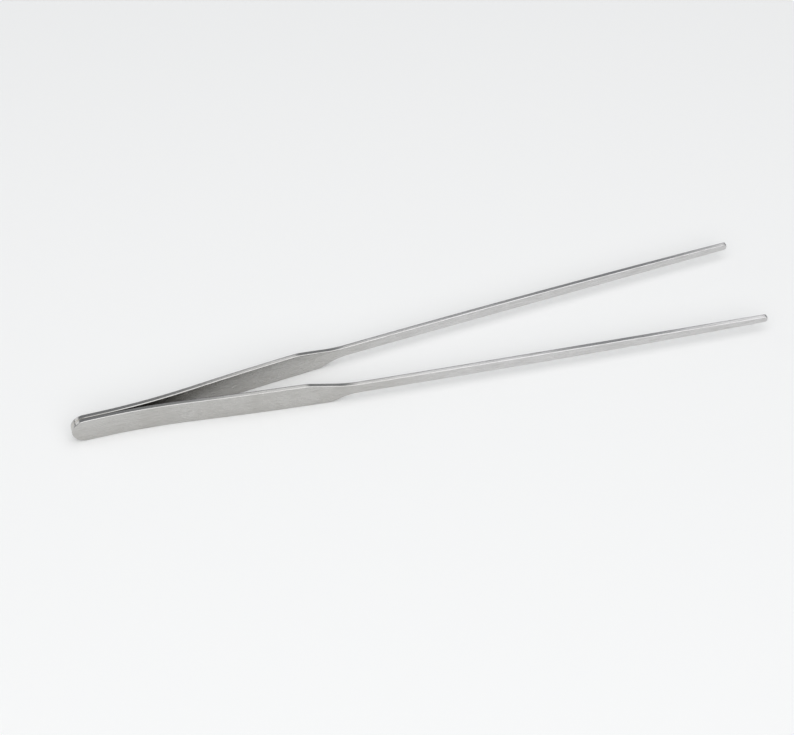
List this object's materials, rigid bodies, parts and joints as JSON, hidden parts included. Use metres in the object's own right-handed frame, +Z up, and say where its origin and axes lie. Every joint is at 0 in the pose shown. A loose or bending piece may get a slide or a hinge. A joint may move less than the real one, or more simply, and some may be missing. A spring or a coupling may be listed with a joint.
{
  "type": "print tongs",
  "caption": "Long stainless steel spring tweezers for lifting photographic prints out of a tray: flat bowed grips, necked shoulders and slim tapering prongs, welded at the heel.",
  "frame": {"origin": "under the middle of the overall length, on the plane the lower edges of the grips stand on, midway between the two arms", "axes": "+X runs from the heel to the tips, Y runs across the opening with the front arm on the -Y side, +Z is up across the width of the blades"},
  "size_m": [0.3, 0.0472, 0.0122],
  "materials": {
    "stainless_steel": "satin"
  },
  "bodies": {
    "heel": {"heel_weld": "stainless_steel", "front_heel_leaf": "stainless_steel", "rear_heel_leaf": "stainless_steel"},
    "front_arm": {"front_grip": "stainless_steel", "front_prong": "stainless_steel"},
    "rear_arm": {"rear_grip": "stainless_steel", "rear_prong": "stainless_steel"}
  },
  "joints": [
    {"name": "front_arm_flex", "type": "hinge", "parent": "heel", "child": "front_arm", "pos_m": [-0.106, -0.00169, 0.0061], "axis": [0, 0, 1], "range_deg": [0, 4.82], "stiffness_Nm_per_rad": 28},
    {"name": "rear_arm_flex", "type": "hinge", "parent": "heel", "child": "rear_arm", "pos_m": [-0.106, 0.00169, 0.0061], "axis": [0, 0, -1], "range_deg": [0, 4.82], "stiffness_Nm_per_rad": 28}
  ]
}
